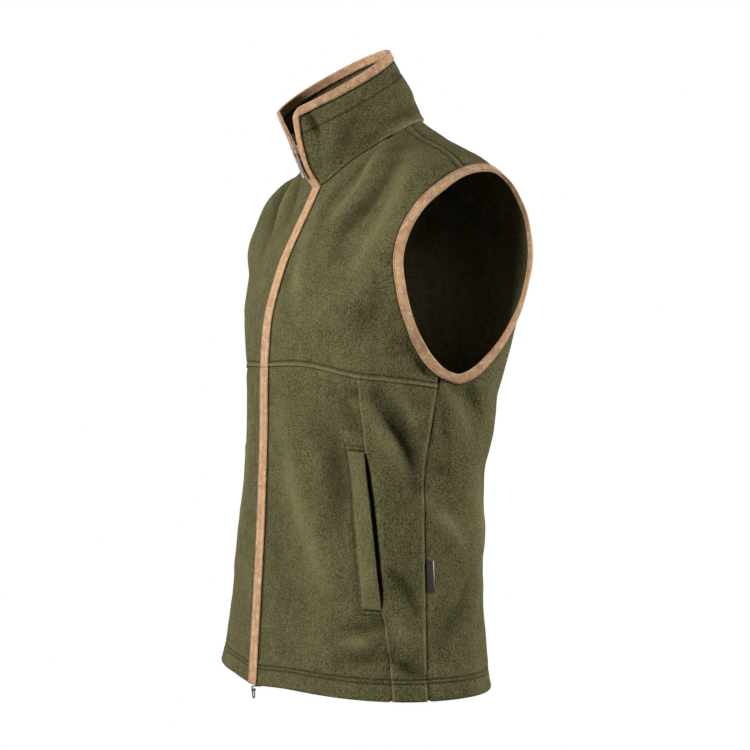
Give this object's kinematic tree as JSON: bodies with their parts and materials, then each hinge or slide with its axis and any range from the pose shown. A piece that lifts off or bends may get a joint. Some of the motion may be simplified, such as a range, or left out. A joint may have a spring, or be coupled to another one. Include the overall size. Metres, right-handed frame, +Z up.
{
  "type": "fleece gilet",
  "caption": "Sleeveless fleece gilet with a stand collar, full two-way zip, slanted side pockets and suede edge binding, open at neck, armholes and hem.",
  "frame": {"origin": "middle of the line between the two shoulder seams, where the garment rests on its wearer", "axes": "+Z up, -Y to the wearer's front, +X to the wearer's left"},
  "size_m": [0.4678, 0.2849, 0.7811],
  "materials": {
    "fleece": "brushed fleece with a short speckled nap",
    "suede": "soft napped suede",
    "zip_tape": "woven polyester tape",
    "label_tape": "woven tape",
    "silver_zinc": "satin plated zinc",
    "gunmetal_zinc": "dark plated zinc"
  },
  "bodies": {
    "garment": {"back": "fleece", "binding_armhole_left": "suede", "binding_armhole_right": "suede", "binding_collar": "suede", "binding_front_lower_left": "suede", "binding_front_lower_right": "suede", "binding_front_upper_left": "suede", "binding_front_upper_right": "suede", "bottom_slider": "gunmetal_zinc", "collar": "fleece", "front_lower_left": "fleece", "front_lower_right": "fleece", "front_side_left": "fleece", "front_side_right": "fleece", "front_upper_left": "fleece", "front_upper_right": "fleece", "pocket_bag_left": "fleece", "pocket_bag_right": "fleece", "pocket_welt_left": "fleece", "pocket_welt_right": "fleece", "side_label": "label_tape", "top_slider": "silver_zinc", "zip_tape_left": "zip_tape", "zip_tape_right": "zip_tape"},
    "top_pull": {"top_pull": "silver_zinc"},
    "bottom_pull": {"bottom_pull": "gunmetal_zinc"}
  },
  "joints": [
    {"name": "top_pull_hinge", "type": "hinge", "parent": "garment", "child": "top_pull", "pos_m": [0, -0.11026, -0.00042], "axis": [-1, 0, 0], "range_deg": [0, 120]},
    {"name": "bottom_pull_hinge", "type": "hinge", "parent": "garment", "child": "bottom_pull", "pos_m": [0, -0.16553, -0.63851], "axis": [-1, 0, 0], "range_deg": [0, 100]}
  ]
}
